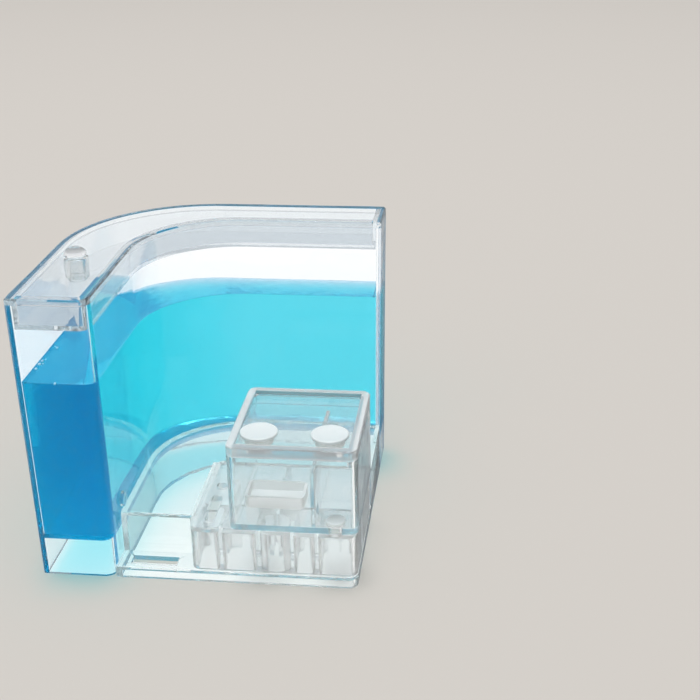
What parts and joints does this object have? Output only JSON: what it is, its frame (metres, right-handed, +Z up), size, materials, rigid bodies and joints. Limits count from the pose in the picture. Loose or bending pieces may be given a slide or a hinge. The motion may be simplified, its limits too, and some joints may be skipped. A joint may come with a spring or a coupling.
{
  "type": "ant habitat",
  "caption": "Clear ant habitat: J-shaped gel tank with a sunk tray lid round an open bay, a nest block with cells, and a lidded feeding box with vent plugs.",
  "frame": {"origin": "middle of the footprint's bounding box, on the ground", "axes": "+X to the right along the longest side, +Y to the back, +Z up"},
  "size_m": [0.13, 0.122, 0.1202],
  "materials": {
    "clear_plastic": "clear moulded polystyrene, polished",
    "blue_gel": "soft translucent nutrient gel, wet surface",
    "frosted_plastic": "frosted polypropylene",
    "white_plastic": "satin milky polyethylene"
  },
  "bodies": {
    "habitat": {"tank_body": "clear_plastic", "ant_gel": "blue_gel", "bay_tray": "clear_plastic", "nest_block": "clear_plastic"},
    "tank_cover": {"tank_lid": "clear_plastic", "stopper_sleeve": "frosted_plastic"},
    "stopper": {"stopper_knob": "clear_plastic"},
    "tunnel_stopper": {"tunnel_plug": "clear_plastic"},
    "feeding_house": {"feeding_box": "clear_plastic", "box_divider": "clear_plastic"},
    "dish": {"food_dish": "frosted_plastic"},
    "passage_stopper": {"passage_plug": "white_plastic"},
    "house_cover": {"feeding_lid": "clear_plastic"},
    "vent_left": {"vent_plug_left": "white_plastic"},
    "vent_right": {"vent_plug_right": "white_plastic"}
  },
  "joints": [
    {"name": "tank_lid_lift", "type": "slide", "parent": "habitat", "child": "tank_cover", "axis": [0, 0, 1], "range_m": [0, 0.04]},
    {"name": "stopper_pull", "type": "slide", "parent": "tank_cover", "child": "stopper", "axis": [0, 0, 1], "range_m": [0, 0.02]},
    {"name": "tunnel_plug_pull", "type": "slide", "parent": "habitat", "child": "tunnel_stopper", "axis": [1, 0, 0], "range_m": [0, 0.01]},
    {"name": "feeding_box_lift", "type": "slide", "parent": "habitat", "child": "feeding_house", "axis": [0, 0, 1], "range_m": [0, 0.04]},
    {"name": "dish_lift", "type": "slide", "parent": "feeding_house", "child": "dish", "axis": [0, 0, 1], "range_m": [0, 0.015]},
    {"name": "passage_plug_pull", "type": "slide", "parent": "feeding_house", "child": "passage_stopper", "axis": [0, 0, 1], "range_m": [0, 0.015]},
    {"name": "feeding_lid_lift", "type": "slide", "parent": "feeding_house", "child": "house_cover", "axis": [0, 0, 1], "range_m": [0, 0.03]},
    {"name": "vent_plug_left_pull", "type": "slide", "parent": "house_cover", "child": "vent_left", "axis": [0, 0, 1], "range_m": [0, 0.012]},
    {"name": "vent_plug_right_pull", "type": "slide", "parent": "house_cover", "child": "vent_right", "axis": [0, 0, 1], "range_m": [0, 0.012]}
  ]
}
